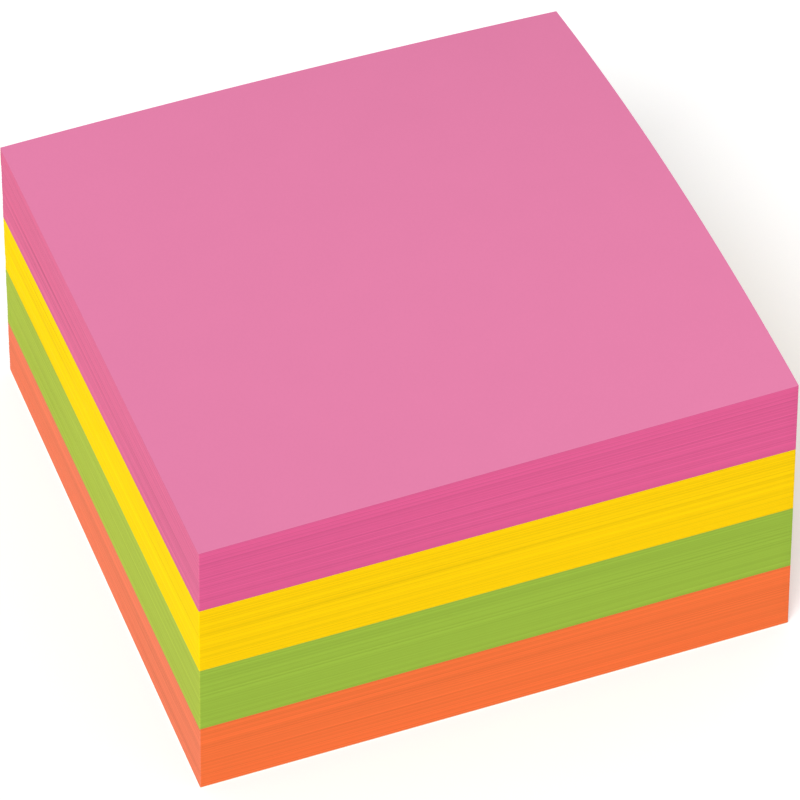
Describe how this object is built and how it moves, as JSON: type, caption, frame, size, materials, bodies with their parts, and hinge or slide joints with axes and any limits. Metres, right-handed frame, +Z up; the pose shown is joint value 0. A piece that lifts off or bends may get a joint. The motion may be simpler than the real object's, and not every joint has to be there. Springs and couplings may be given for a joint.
{
  "type": "sticky note pad",
  "caption": "Square block of self-adhesive notes in pink, yellow, green and orange layers on a release liner, for writing and sticking reminders.",
  "frame": {"origin": "middle of the foot, on the surface that the pad stands on", "axes": "+X along the glued edge to the right, +Y from the glued edge to the free edge, +Z up through the notes"},
  "size_m": [0.0768, 0.0768, 0.0426],
  "materials": {
    "pink_paper": "matte",
    "yellow_paper": "matte",
    "green_paper": "matte",
    "orange_paper": "matte",
    "release_liner": "satin"
  },
  "bodies": {
    "root": {"pink_notes": "pink_paper", "yellow_notes": "yellow_paper", "green_notes": "green_paper", "orange_notes": "orange_paper", "backing_sheet": "release_liner"}
  },
  "joints": []
}
